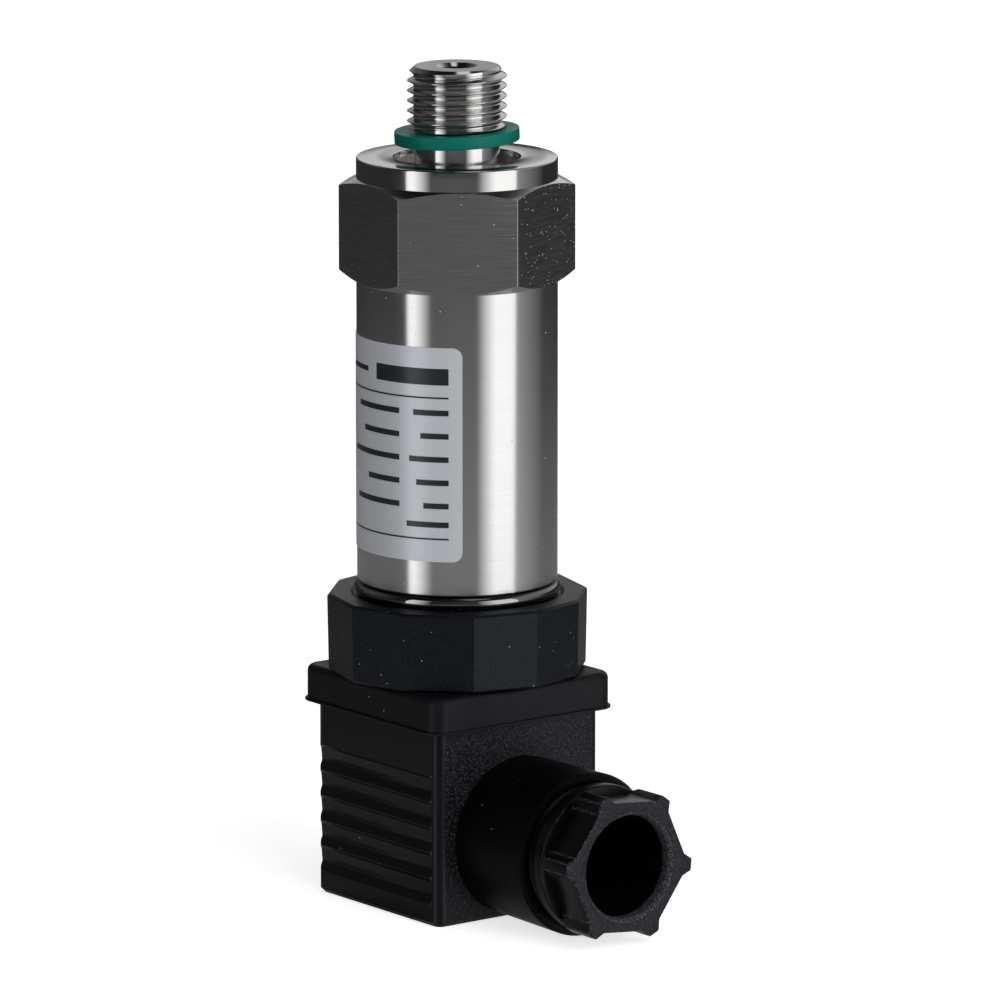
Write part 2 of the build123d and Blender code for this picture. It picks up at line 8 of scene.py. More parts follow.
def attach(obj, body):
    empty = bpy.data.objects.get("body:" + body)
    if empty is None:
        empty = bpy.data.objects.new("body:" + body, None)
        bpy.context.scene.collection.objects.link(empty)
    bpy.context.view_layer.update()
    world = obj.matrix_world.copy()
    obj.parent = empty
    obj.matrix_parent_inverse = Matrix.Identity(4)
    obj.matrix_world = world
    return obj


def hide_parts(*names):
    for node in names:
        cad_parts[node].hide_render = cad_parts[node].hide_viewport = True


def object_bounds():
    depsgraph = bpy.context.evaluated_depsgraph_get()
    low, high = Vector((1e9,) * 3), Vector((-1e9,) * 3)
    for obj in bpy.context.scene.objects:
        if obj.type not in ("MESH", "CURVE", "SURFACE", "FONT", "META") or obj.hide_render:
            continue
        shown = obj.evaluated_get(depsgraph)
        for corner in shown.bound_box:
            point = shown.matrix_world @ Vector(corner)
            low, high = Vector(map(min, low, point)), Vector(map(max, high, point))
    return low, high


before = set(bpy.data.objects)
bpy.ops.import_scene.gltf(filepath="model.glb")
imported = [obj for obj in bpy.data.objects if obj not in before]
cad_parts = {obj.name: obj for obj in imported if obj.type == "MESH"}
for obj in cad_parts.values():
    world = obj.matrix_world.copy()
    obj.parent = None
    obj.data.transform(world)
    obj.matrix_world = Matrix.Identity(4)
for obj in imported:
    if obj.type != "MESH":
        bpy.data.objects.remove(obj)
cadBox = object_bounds()
mm = 0.001  # pieces are modelled in millimetres and turned to metres when they are finished


# Tools that several pieces share

def linearColour(hexColour):
    channels = [int(hexColour[place:place + 2], 16) / 255 for place in (1, 3, 5)]
    return [c / 12.92 if c <= 0.04045 else ((c + 0.055) / 1.055) ** 2.4 for c in channels] + [1.0]


def addNode(tree, kind, settings=None, links=None, into=None):
    node = tree.nodes.new("ShaderNode" + kind)
    for name, value in (settings or {}).items():
        if isinstance(name, int) or name in node.inputs:
            node.inputs[name].default_value = value
        else:
            setattr(node, name, value)
    for name, source in (links or {}).items():  # a node stands for its first output
        socket = source.outputs[0] if isinstance(source, bpy.types.Node) else source
        tree.links.new(socket, node.inputs[name])
    if into is not None:
        tree.links.new(node.outputs[0], into)
    return node


def newMaterial(name, hexColour, settings):
    material = bpy.data.materials.new(name)
    material.use_nodes = True
    tree = material.node_tree
    shader = tree.nodes["Principled BSDF"]
    shader.inputs["Base Color"].default_value = linearColour(hexColour)
    for socket, value in settings.items():
        shader.inputs[socket].default_value = value
    material.diffuse_color = linearColour(hexColour)
    place = addNode(tree, "TexCoord").outputs["Object"]  # every pattern stays fast to its piece
    return material, tree, shader, place


def noiseScale(millimetres):
    return 1 / (millimetres * mm)  # a noise texture's spots are about one over its scale across


def sliceShape(shape, place, direction, tolerance=1e-4, clear=False):
    return bmesh.ops.bisect_plane(shape, geom=shape.verts[:] + shape.edges[:] + shape.faces[:],
                                  plane_co=place, plane_no=direction, dist=tolerance, clear_outer=clear)


def turnShape(outline, closed, steps=180):
    shape = bmesh.new()  # each corner is (radius, height) and may carry a third number, its rounding
    corners = [shape.verts.new((corner[0], 0, corner[1])) for corner in outline]
    chain = [shape.edges.new(pair) for pair in zip(corners, corners[1:])]
    if closed:
        chain.append(shape.edges.new((corners[-1], corners[0])))
    bmesh.ops.spin(shape, geom=corners + chain, cent=(0, 0, 0), axis=(0, 0, 1), dvec=(0, 0, 0),
                   angle=2 * pi, steps=steps, use_merge=True)
    bmesh.ops.remove_doubles(shape, verts=shape.verts, dist=1e-5)
    for corner in outline:
        if len(corner) > 2:
            rim = [edge for edge in shape.edges if all(
                abs(hypot(v.co.x, v.co.y) - corner[0]) < 1e-3 and abs(v.co.z - corner[1]) < 1e-3
                for v in edge.verts)]
            bmesh.ops.bevel(shape, geom=rim, offset=corner[2], affect="EDGES", segments=3,
                            profile=0.5, material=-1)
    return shape


def threadSurface(thread, steps=180):
    crest, pitch, low, high = (thread[name] for name in ("crest", "pitch", "low", "high"))
    flank = radians(thread["flankAngle"])
    tipRadius = pitch * thread["tipShare"]
    rootRadius = pitch * thread["rootShare"]
    root = crest - pitch * thread["depthShare"]
    turns = [(pi / 2 - flank) * step / 3 for step in range(4)]
    half = [(crest - tipRadius * (1 - cos(turn)), tipRadius * sin(turn)) for turn in turns]
    half += [(root + rootRadius * (1 - cos(turn)), pitch / 2 - rootRadius * sin(turn))
             for turn in reversed(turns)]
    profile = [(radius, -height) for radius, height in reversed(half)] + half[1:]
    shape = bmesh.new()
    start = low - 1.5 * pitch + thread["phase"] * pitch
    corners = [shape.verts.new((radius, 0, start + height)) for radius, height in profile]
    chain = [shape.edges.new(pair) for pair in zip(corners, corners[1:])]
    bmesh.ops.spin(shape, geom=corners + chain, cent=(0, 0, 0), axis=(0, 0, 1),
                   dvec=(0, 0, pitch / steps), angle=2 * pi, steps=steps)
    firstTurn = shape.verts[:] + shape.edges[:] + shape.faces[:]
    for turn in range(1, int((high - low) / pitch) + 3):
        copy = bmesh.ops.duplicate(shape, geom=firstTurn)["geom"]
        bmesh.ops.translate(shape, vec=(0, 0, turn * pitch),
                            verts=[part for part in copy if isinstance(part, bmesh.types.BMVert)])
    for vert in shape.verts:  # both ends run out on a cone, as the tool leaves them
        height = min(max(vert.co.z, low), high)
        radius = hypot(vert.co.x, vert.co.y)
        limit = min(thread["lowRadius"] + (height - low), thread["highRadius"] + (high - height))
        scale = min(radius, limit) / radius
        vert.co = (vert.co.x * scale, vert.co.y * scale, height)
    bmesh.ops.remove_doubles(shape, verts=shape.verts, dist=1e-4)
    bmesh.ops.dissolve_degenerate(shape, edges=shape.edges, dist=1e-4)
    return shape


def joinShapes(first, second, weld=True):
    spare = bpy.data.meshes.new("spare")
    second.to_mesh(spare)
    second.free()
    first.from_mesh(spare)
    bpy.data.meshes.remove(spare)
    if weld:
        bmesh.ops.remove_doubles(first, verts=first.verts, dist=2e-4)
    return first


def mergedCopy(node):
    shape = bmesh.new()  # a CAD mesh is loose triangles, so a copy of it is merged before it is worked on
    shape.from_mesh(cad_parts[node].data)
    bmesh.ops.scale(shape, vec=(1 / mm,) * 3, verts=shape.verts)
    bmesh.ops.remove_doubles(shape, verts=shape.verts, dist=1e-4)
    bmesh.ops.dissolve_limit(shape, angle_limit=radians(0.4), verts=shape.verts, edges=shape.edges)
    return shape


def cutAway(shape, cutter):
    things = []
    for part in (shape, cutter):
        mesh = bpy.data.meshes.new("spare")
        part.to_mesh(mesh)
        part.free()
        things.append(bpy.data.objects.new("spare", mesh))
        bpy.context.scene.collection.objects.link(things[-1])
    cut = things[0].modifiers.new("cut", "BOOLEAN")
    cut.operation = "DIFFERENCE"
    cut.solver = "EXACT"
    cut.object = things[1]
    result = bmesh.new()
    result.from_object(things[0], bpy.context.evaluated_depsgraph_get())
    for thing in things:
        mesh = thing.data
        bpy.data.objects.remove(thing)
        bpy.data.meshes.remove(mesh)
    return result


def bevelSharp(shape, offset, segments=2, angle=25):
    sharp = [edge for edge in shape.edges
             if len(edge.link_faces) == 2 and edge.calc_face_angle() > radians(angle)]
    bmesh.ops.bevel(shape, geom=sharp, offset=offset, affect="EDGES", segments=segments,
                    profile=0.5, material=-1, clamp_overlap=True)


def finishPiece(shape, name, body, node, materials, smooth=30, flats=False):
    bmesh.ops.recalc_face_normals(shape, faces=shape.faces)
    bmesh.ops.scale(shape, vec=(mm,) * 3, verts=shape.verts)
    mesh = bpy.data.meshes.new(name)
    shape.to_mesh(mesh)
    shape.free()
    mesh.polygons.foreach_set("use_smooth", [True] * len(mesh.polygons))
    mesh.set_sharp_from_angle(angle=radians(smooth))
    for material in materials:
        mesh.materials.append(material)
    piece = bpy.data.objects.new(name, mesh)
    bpy.context.scene.collection.objects.link(piece)
    if flats:  # large flat faces keep their own shading right up to their rounded edges
        weighted = piece.modifiers.new("weightedNormals", "WEIGHTED_NORMAL")
        weighted.weight = 80
        weighted.keep_sharp = True
    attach(piece, body)
    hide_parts(node)
    print("made", name, len(mesh.polygons), "faces")


# Camera, at the photograph's view of the sensor

camera = {
    "azimuth": 52.6,
    "elevation": 11.23,
    "distance": 1.169,
    "lens": 317.85,
    "target": (0.003434, 0.004491, -0.0461),
}

back = Vector((
    sin(radians(camera["azimuth"])) * cos(radians(camera["elevation"])),
    -cos(radians(camera["azimuth"])) * cos(radians(camera["elevation"])),
    sin(radians(camera["elevation"])),
))
cameraData = bpy.data.cameras.new("viewCamera")
cameraData.lens = camera["lens"]
cameraData.sensor_width = 36
viewCamera = bpy.data.objects.new("viewCamera", cameraData)
viewCamera.location = Vector(camera["target"]) + back * camera["distance"]
viewCamera.rotation_euler = (-back).to_track_quat("-Z", "Y").to_euler()
bpy.context.scene.collection.objects.link(viewCamera)
bpy.context.scene.camera = viewCamera
bpy.context.scene.view_settings.view_transform = "Standard"


# Studio: upright soft boxes to the left, to the right and behind, one overhead, and a pale floor

studio = {
    "boxes": {  # left and right edge in degrees from the camera's direction, strength, soft share and side
        "leftBox": (-59.0, -30.0, 1.55, 0.69, "right"),
        "rightBox": (23.4, 71.0, 1.55, 0.45, "left"),
        "rightWing": (71.0, 116.0, 0.34, 1.0, "right"),
        "rearLeftBox": (-179.0, -167.0, 0.22, 0.4, "right"),
        "rearRightBox": (166.0, 178.0, 0.22, 0.4, "left"),
    },
    "boxDistance": 1.0,
    "boxHeight": 1.5,
    "boxMiddle": 0.05,
    "floorSize": 8.0,
    "floorColour": "#f4f4f4",
    # Two distances from the middle in metres, and the floor's level at both:
    "floorLift": (0.35, 0.9, 0.7, 1.0),  # how far the camera sees it lifted to white
    "floorShine": (0.0, 0.42, 0.28, 0.0),  # how bright reflections see it
    "nearShade": (0.0145, 0.021, 0.1, 1.0),  # how much of that shine is left close to the plug
    "fillLevel": 2.8,
    "fillSize": 0.8,
    "fillTurn": 30.0,
    "fillDistance": 1.1,
    "fillHeight": 0.5,
    "topLevel": 0.9,
    "topSize": 0.36,
    "topTurn": 48.0,
    "topHeight": 74.0,
    "roomFill": 0.22,
    "sky": [(0.146, 0.12), (0.235, 0.08), (0.31, 0.0), (0.54, 0.0), (0.575, 0.6), (0.61, 0.75),
            (0.78, 0.7), (0.88, 0.3), (0.95, 0.05)],  # height, from straight down to straight up, and level
    "skyEnds": (0.06, 0.05),
    # From and to along a direction, and the sky's share at both:
    "skyLeft": (-0.5, 0.3, 0.15, 1.0),
    "skyFront": (-0.3, 0.35, 1.0, 0.08),
    "skyRight": (0.5, 0.9, 1.0, 0.35),
    "flagLevel": 0.034,
    "flagFront": 0.11,
    "flagFade": (0.16, 0.12),  # height where the dark flags have faded, and their level there
}
floorLevel = cadBox[0].z


def placeLight(name, light, location, aim):
    box = bpy.data.objects.new(name, light)
    box.location = location
    box.rotation_euler = (aim - location).to_track_quat("-Z", "Y").to_euler()
    box.visible_camera = False
    bpy.context.scene.collection.objects.link(box)
    return box


def makeBox(name, leftEdge, rightEdge, strength, softShare, softSide):
    light = bpy.data.lights.new(name, "AREA")
    light.shape = "RECTANGLE"
    light.size = 2 * studio["boxDistance"] * tan(radians((rightEdge - leftEdge) / 2))
    light.size_y = studio["boxHeight"]
    light.energy = strength * light.size * light.size_y * pi
    light.use_nodes = True
    tree = light.node_tree
    place = addNode(tree, "NewGeometry")
    split = addNode(tree, "SeparateXYZ", {}, {0: place.outputs["Parametric"]})
    near, far = (1.0, 1 - softShare) if softSide == "right" else (0.0, softShare)
    addNode(tree, "MapRange", {"From Min": near, "From Max": far}, {"Value": split},
            tree.nodes["Emission"].inputs["Strength"])
    turn = radians(camera["azimuth"] + (leftEdge + rightEdge) / 2)
    middle = Vector((0, 0, studio["boxMiddle"]))
    placeLight(name, light, middle + Vector((sin(turn), -cos(turn), 0)) * studio["boxDistance"], middle)


for boxName, boxValues in studio["boxes"].items():
    makeBox(boxName, *boxValues)

ahead = Vector((back.x, back.y, 0)).normalized()


def makeSquareLight(name, level, size, turn, out, up, aim):
    light = bpy.data.lights.new(name, "AREA")
    light.size = size
    light.energy = level * size ** 2 * pi
    direction = Matrix.Rotation(radians(turn), 3, "Z") @ ahead
    return placeLight(name, light, direction * out + Vector((0, 0, up)), aim)


topRise = radians(studio["topHeight"])
makeSquareLight("topBox", studio["topLevel"], studio["topSize"], studio["topTurn"], cos(topRise),
                sin(topRise), Vector((0, 0, 0)))
frontFill = makeSquareLight("frontFill", studio["fillLevel"], studio["fillSize"], studio["fillTurn"],
                            studio["fillDistance"], studio["fillHeight"], Vector((0, 0, floorLevel / 2)))
frontFill.visible_glossy = False  # it lifts the matt colours and leaves the steel alone


def paintFloor():
    # Matt wall paint, rolled on: it shows no highlight, and the camera sees it lifted to white
    material = bpy.data.materials.new("paintedFloor")
    material.use_nodes = True
    tree = material.node_tree
    tree.nodes.clear()
    matt = addNode(tree, "BsdfDiffuse", {"Color": linearColour(studio["floorColour"])})
    rays = addNode(tree, "LightPath")
    place = addNode(tree, "TexCoord").outputs["Object"]
    reach = addNode(tree, "VectorMath", {"operation": "LENGTH"}, {0: place})
    level = addNode(tree, "VectorMath", {"operation": "MULTIPLY", 1: (1, 1, 0)}, {0: place})
    beside = addNode(tree, "VectorMath", {"operation": "LENGTH"}, {0: level})
    levels = []
    for far, values in ((reach, "floorLift"), (reach, "floorShine"), (beside, "nearShade")):
        start, end, first, last = studio[values]
        levels.append(addNode(tree, "MapRange", {
            "From Min": start, "From Max": end, "To Min": first, "To Max": last},
            {"Value": far.outputs["Value"]}))
    white, fade, near = levels
    lift = addNode(tree, "Math", {"operation": "MULTIPLY"}, {0: rays.outputs["Is Camera Ray"], 1: white})
    glow = addNode(tree, "Emission", {}, {"Strength": lift})
    total = addNode(tree, "AddShader", {}, {0: matt, 1: glow})
    shaded = addNode(tree, "Math", {"operation": "MULTIPLY"}, {0: fade, 1: near})
    shine = addNode(tree, "Emission", {}, {"Strength": shaded})
    clear = addNode(tree, "BsdfTransparent")
    mirrored = addNode(tree, "AddShader", {}, {0: clear, 1: shine})
    shown = addNode(tree, "MixShader", {}, {0: rays.outputs["Is Glossy Ray"], 1: total, 2: mirrored})
    addNode(tree, "OutputMaterial", {}, {"Surface": shown})
    return material


floorShape = bmesh.new()
bmesh.ops.create_grid(floorShape, x_segments=1, y_segments=1, size=studio["floorSize"] / 2)
bmesh.ops.translate(floorShape, vec=(0, 0, floorLevel), verts=floorShape.verts)
floorMesh = bpy.data.meshes.new("studioFloor")
floorShape.to_mesh(floorMesh)
floorShape.free()
floorMesh.materials.append(paintFloor())
studioFloor = bpy.data.objects.new("studioFloor", floorMesh)
bpy.context.scene.collection.objects.link(studioFloor)
studioFloor.visible_shadow = False


# Room: dark below the sensor's height, a pale sky above it, seen by reflections only

room = bpy.data.worlds.new("studioRoom")
bpy.context.scene.world = room
room.use_nodes = True
roomTree = room.node_tree
roomTree.nodes.clear()
roomPlace = addNode(roomTree, "TexCoord")
roomSplit = addNode(roomTree, "SeparateXYZ", {}, {0: roomPlace.outputs["Generated"]})
roomHeight = addNode(roomTree, "MapRange", {"From Min": -1.0, "From Max": 1.0},
                     {"Value": roomSplit.outputs[2]})
roomRamp = addNode(roomTree, "ValToRGB", {}, {"Fac": roomHeight})
for element, level in zip(roomRamp.color_ramp.elements, studio["skyEnds"]):
    element.color = (level, level, level, 1)
for stop, level in studio["sky"]:
    element = roomRamp.color_ramp.elements.new(stop)
    element.color = (level, level, level, 1)
roomAhead = addNode(roomTree, "VectorMath", {"operation": "DOT_PRODUCT", 1: back.to_tuple()},
                    {0: roomPlace.outputs["Generated"]})
roomRight = addNode(roomTree, "VectorMath", {"operation": "DOT_PRODUCT", 1: (-ahead.y, ahead.x, 0)},
                    {0: roomPlace.outputs["Generated"]})
roomSky = roomRamp
for direction, (shareFrom, shareTo, firstShare, lastShare) in (
        (roomRight, studio["skyLeft"]), (roomAhead, studio["skyFront"]), (roomRight, studio["skyRight"])):
    roomShare = addNode(roomTree, "MapRange", {
        "From Min": shareFrom, "From Max": shareTo, "To Min": firstShare, "To Max": lastShare},
        {"Value": direction.outputs["Value"]})
    roomSky = addNode(roomTree, "Math", {"operation": "MULTIPLY"}, {0: roomSky, 1: roomShare})
roomNear = addNode(roomTree, "Math", {"operation": "MAXIMUM", 1: 0.0}, {0: roomAhead.outputs["Value"]})
roomSquare = addNode(roomTree, "Math", {"operation": "POWER", 1: 2.0}, {0: roomNear})
roomFlags = addNode(roomTree, "Math", {
    "operation": "MULTIPLY_ADD", 1: studio["flagFront"], 2: studio["flagLevel"]}, {0: roomSquare})
roomBelow = addNode(roomTree, "MapRange", {
    "From Min": 0.0, "From Max": studio["flagFade"][0], "To Min": 1.0, "To Max": studio["flagFade"][1]},
    {"Value": roomSplit.outputs[2]})
roomDark = addNode(roomTree, "Math", {"operation": "MULTIPLY"}, {0: roomFlags, 1: roomBelow})
roomShown = addNode(roomTree, "Mix", {"data_type": "RGBA", 7: (1, 1, 1, 1)}, {0: roomSky, 6: roomDark})
roomRays = addNode(roomTree, "LightPath")
roomGloss = addNode(roomTree, "Mix", {"data_type": "RGBA", 6: (studio["roomFill"],) * 3 + (1,)},
                    {0: roomRays.outputs["Is Glossy Ray"], 7: roomShown.outputs[2]})
roomFinal = addNode(roomTree, "Mix", {"data_type": "RGBA", 7: (1, 1, 1, 1)},
                    {0: roomRays.outputs["Is Camera Ray"], 6: roomGloss.outputs[2]})
roomLight = addNode(roomTree, "Background", {}, {"Color": roomFinal.outputs[2]})
addNode(roomTree, "OutputWorld", {}, {"Surface": roomLight})
print("studio ready")


# Materials. Grooves, scratches and grit finer than about 0.1 mm wouldn't show, so they are drawn coarser

spread = {"From Min": 0.3, "From Max": 0.7}  # where most of a noise texture's values lie
baseDust = [(0.9, 0.07, 0.3, 1.0, 0.0)]


def dustInto(tree, shader, place, layers, gather=None):
    dust = None  # specks and short fibres of lint, in one layer for each size
    if gather:  # more of it where a place lies farther along a direction, between two distances
        direction, near, far, leastShare = gather
        along = addNode(tree, "VectorMath", {"operation": "DOT_PRODUCT", 1: direction}, {0: place})
        more = addNode(tree, "MapRange", {
            "From Min": near * mm, "From Max": far * mm, "To Min": leastShare, "To Max": 1.0},
            {"Value": along.outputs["Value"]})
    for spacing, speckSize, share, stretch, tilt in layers:  # sizes in millimetres, tilt in degrees
        turn = addNode(tree, "Mapping", {
            "Rotation": (0.0, radians(tilt), radians(tilt)), "Scale": (1.0, 1.0, 1 / stretch)},
            {"Vector": place})
        cells = addNode(tree, "TexVoronoi", {"Scale": noiseScale(spacing), "Randomness": 1.0},
                        {"Vector": turn})
        close = addNode(tree, "Math", {"operation": "LESS_THAN", 1: speckSize / spacing},
                        {0: cells.outputs["Distance"]})
        chance = addNode(tree, "SeparateXYZ", {}, {0: cells.outputs["Color"]})
        chosen = addNode(tree, "Math", {"operation": "LESS_THAN", 1: share}, {0: chance})
        if gather:
            addNode(tree, "Math", {"operation": "MULTIPLY", 1: share}, {0: more}, chosen.inputs[1])
        speck = addNode(tree, "Math", {"operation": "MULTIPLY"}, {0: close, 1: chosen})
        dust = addNode(tree, "Math", {"operation": "MAXIMUM"}, {0: dust, 1: speck}) if dust else speck
    colour = shader.inputs["Base Color"]
    metallic = shader.inputs["Metallic"].default_value
    tint = addNode(tree, "Mix", {
        "data_type": "RGBA", 6: tuple(colour.default_value), 7: linearColour("#c4c1bc")}, {0: dust})
    if colour.is_linked:
        tree.links.new(colour.links[0].from_socket, tint.inputs[6])
    tree.links.new(tint.outputs[2], colour)
    if metallic > 0:
        addNode(tree, "Math", {"operation": "SUBTRACT", 0: metallic}, {1: dust}, shader.inputs["Metallic"])


def turnedSteelMaterial():
    # Stainless steel, turned: fine rings round the axis, which spread each light a little across them
    material, tree, shader, place = newMaterial("turnedStainlessSteel", "#c9c8c7", {
        "Metallic": 1.0, "Roughness": 0.12, "Anisotropic": 0.3, "Anisotropic Rotation": 0.25})
    flat = addNode(tree, "VectorMath", {"operation": "MULTIPLY", 1: (1, 1, 0)}, {0: place})
    radius = addNode(tree, "VectorMath", {"operation": "LENGTH"}, {0: flat})
    split = addNode(tree, "SeparateXYZ", {}, {0: place})
    across = addNode(tree, "Math", {"operation": "ADD"},  # grows across every turned groove
                     {0: radius.outputs["Value"], 1: split.outputs[2]})
    lines = addNode(tree, "TexNoise", {"noise_dimensions": "1D", "Scale": noiseScale(0.09), "Detail": 3.0},
                    {"W": across})
    addNode(tree, "Tangent", {"direction_type": "RADIAL", "axis": "Z"}, {}, shader.inputs["Tangent"])
    addNode(tree, "MapRange", {**spread, "To Min": 0.08, "To Max": 0.15}, {"Value": lines},
            shader.inputs["Roughness"])
    addNode(tree, "Bump", {"Strength": 0.5, "Distance": 0.004 * mm}, {"Height": lines},
            shader.inputs["Normal"])
    return material


def polishedTubeMaterial():
    # Stainless tube, ground and polished round its axis: lamps stand in it as soft upright bands
    material, tree, shader, place = newMaterial("polishedStainlessTube", "#cacacb", {
        "Metallic": 1.0, "Roughness": 0.22, "Anisotropic": 0.9, "Anisotropic Rotation": 0.25})
    stretch = addNode(tree, "Mapping", {"Scale": (0.012, 0.012, 1.0)}, {"Vector": place})
    lines = addNode(tree, "TexNoise", {"Scale": noiseScale(0.12), "Detail": 4.0}, {"Vector": stretch})
    addNode(tree, "Tangent", {"direction_type": "RADIAL", "axis": "Z"}, {}, shader.inputs["Tangent"])
    addNode(tree, "MapRange", {**spread, "To Min": 0.19, "To Max": 0.25}, {"Value": lines},
            shader.inputs["Roughness"])
    addNode(tree, "Bump", {"Strength": 0.3, "Distance": 0.001 * mm}, {"Height": lines},
            shader.inputs["Normal"])
    dustInto(tree, shader, place, [(1.5, 0.1, 0.35, 1.0, 0.0), (2.2, 0.08, 0.5, 3.0, 40.0),
                                   (2.4, 0.08, 0.5, 3.0, -55.0)])
    return material


def milledSteelMaterial():
    # Stainless steel, milled: level scratches across each flat give it a satin grey with fine streaks
    material, tree, shader, place = newMaterial("milledStainlessSteel", "#c2c1c3", {
        "Metallic": 1.0, "Roughness": 0.22})
    stretch = addNode(tree, "Mapping", {"Scale": (0.02, 0.02, 1.0)}, {"Vector": place})
    lines = addNode(tree, "TexNoise", {"Scale": noiseScale(0.1), "Detail": 3.0}, {"Vector": stretch})
    addNode(tree, "MapRange", {**spread, "To Min": 0.17, "To Max": 0.3}, {"Value": lines},
            shader.inputs["Roughness"])
    addNode(tree, "Bump", {"Strength": 0.4, "Distance": 0.002 * mm}, {"Height": lines},
            shader.inputs["Normal"])
    rightFlat = (0.607, 0.794, 0.0)  # most of the dust lies on this flat
    dustInto(tree, shader, place, [(0.65, 0.08, 0.8, 1.0, 0.0), (1.2, 0.07, 0.8, 3.0, 35.0),
                                   (1.5, 0.07, 0.8, 3.0, -50.0)], (rightFlat, 6.0, 9.0, 0.06))
    return material


def moulded(name, hexColour, roughness, grain, depth, settings={}, dust=None):
    material, tree, shader, place = newMaterial(name, hexColour, {"Roughness": roughness, **settings})
    skin = addNode(tree, "TexNoise", {"Scale": noiseScale(grain), "Detail": 3.0}, {"Vector": place})
    addNode(tree, "Bump", {"Strength": 0.5, "Distance": depth * mm}, {"Height": skin},
            shader.inputs["Normal"])
    cloud = addNode(tree, "TexNoise", {"Scale": noiseScale(4.0), "Detail": 2.0},  # handled here and there
                    {"Vector": place})
    addNode(tree, "MapRange", {**spread, "To Min": roughness * 0.88, "To Max": roughness * 1.12},
            {"Value": cloud}, shader.inputs["Roughness"])
    shade = addNode(tree, "MapRange", {**spread, "To Min": 0.85, "To Max": 1.1}, {"Value": cloud})
    addNode(tree, "HueSaturation", {"Color": linearColour(hexColour)}, {"Value": shade},
            shader.inputs["Base Color"])
    if dust:
        dustInto(tree, shader, place, dust)
    return material


def grained(name, hexColour, fleckColour, roughness, grain, depth, settings, dust=None):
    material, tree, shader, place = newMaterial(name, hexColour, {"Roughness": roughness, **settings})
    grit = addNode(tree, "TexNoise", {"Scale": noiseScale(grain), "Detail": 2.0, "Roughness": 0.7},
                   {"Vector": place})
    fleck = addNode(tree, "MapRange", {"From Min": 0.5, "From Max": 0.68}, {"Value": grit})
    paint = addNode(tree, "Mix", {
        "data_type": "RGBA", 6: linearColour(hexColour), 7: linearColour(fleckColour)}, {0: fleck})
    tree.links.new(paint.outputs[2], shader.inputs["Base Color"])
    addNode(tree, "Bump", {"Distance": depth * mm}, {"Height": grit}, shader.inputs["Normal"])
    if dust:
        dustInto(tree, shader, place, dust)
    return material


def glossySealMaterial(level):
    # Nitrile rubber, moulded and greased: its outer flank mirrors the lamps, its top stays dull
    material, tree, shader, place = newMaterial("glossyNitrileRubber", "#040405", {
        "Roughness": 0.3, "Specular IOR Level": 0.2, "Coat IOR": 3.6, "Coat Roughness": 0.03})
    split = addNode(tree, "SeparateXYZ", {}, {0: place})
    dullAbove, glossyBelow = (level + 0.85) * mm, (level + 0.55) * mm
    addNode(tree, "MapRange", {
        "interpolation_type": "SMOOTHSTEP", "From Min": dullAbove, "From Max": glossyBelow, "To Min": 0.0,
        "To Max": 1.0}, {"Value": split.outputs[2]}, shader.inputs["Coat Weight"])
    bloom = addNode(tree, "TexNoise", {"Scale": noiseScale(1.4), "Detail": 3.0}, {"Vector": place})
    addNode(tree, "Bump", {"Strength": 0.5, "Distance": 0.004 * mm}, {"Height": bloom},
            shader.inputs["Normal"])
    dustInto(tree, shader, place, baseDust)
    return material


def printedFilmMaterial(marks):
    # Polyester film, metallised and printed: a cool silvery grey with a soft shine and flat black ink
    filmColour = "#c6c9cf"
    material, tree, shader, place = newMaterial("metallisedPolyesterFilm", filmColour, {
        "Metallic": 0.25, "Roughness": 0.36, "Coat Weight": 0.3, "Coat Roughness": 0.2})
    sheet = addNode(tree, "UVMap", {"uv_map": "printSheet"})
    split = addNode(tree, "SeparateXYZ", {}, {0: sheet})
    inked = None
    for across, up, halfLength, halfHeight in marks:  # each mark is a plain bar of ink
        wide = addNode(tree, "Math", {"operation": "COMPARE", 1: across * mm, 2: halfLength * mm},
                       {0: split})
        high = addNode(tree, "Math", {"operation": "COMPARE", 1: up * mm, 2: halfHeight * mm},
                       {0: split.outputs[1]})
        mark = addNode(tree, "Math", {"operation": "MULTIPLY"}, {0: wide, 1: high})
        inked = addNode(tree, "Math", {"operation": "MAXIMUM"}, {0: inked, 1: mark}) if inked else mark
    paint = addNode(tree, "Mix", {
        "data_type": "RGBA", 6: linearColour(filmColour), 7: linearColour("#20242a")}, {0: inked})
    tree.links.new(paint.outputs[2], shader.inputs["Base Color"])
    skin = addNode(tree, "TexNoise", {"Scale": noiseScale(0.25), "Detail": 2.0}, {"Vector": place})
    addNode(tree, "Bump", {"Strength": 0.4, "Distance": 0.002 * mm}, {"Height": skin},
            shader.inputs["Normal"])
    return material


violetGloss = {"Specular IOR Level": 0.26, "Specular Tint": (0.93, 0.9, 1.0, 1.0)}
neckShine = {"Specular IOR Level": 0.11, "Specular Tint": (0.93, 0.9, 1.0, 1.0)}
blueGloss = {"Specular IOR Level": 0.25, "Specular Tint": (0.82, 0.9, 1.0, 1.0)}
fineDust = [(1.7, 0.075, 0.25, 1.0, 0.0)]
metal = {"Metallic": 1.0}
baseRingLevel = -57.525  # height of the glossy ring, which its shine follows

turnedSteel = turnedSteelMaterial()
tubeSteel = polishedTubeMaterial()
milledSteel = milledSteelMaterial()
sealBlack = glossySealMaterial(baseRingLevel)
# Fluoro rubber, moulded: a deep even green with a faint sheen along its rims
sealGreen = moulded("mouldedFluoroRubber", "#006e60", 0.36, 0.3, 0.004, {"Specular IOR Level": 0.15})
# Glass-filled polyamide, moulded: bluish black with fine pale fibre flecks and a satin surface
basePlastic = grained("mouldedGlassFilledPolyamide", "#040609", "#1a1d23", 0.36, 0.2, 0.06, blueGloss,
                      baseDust)
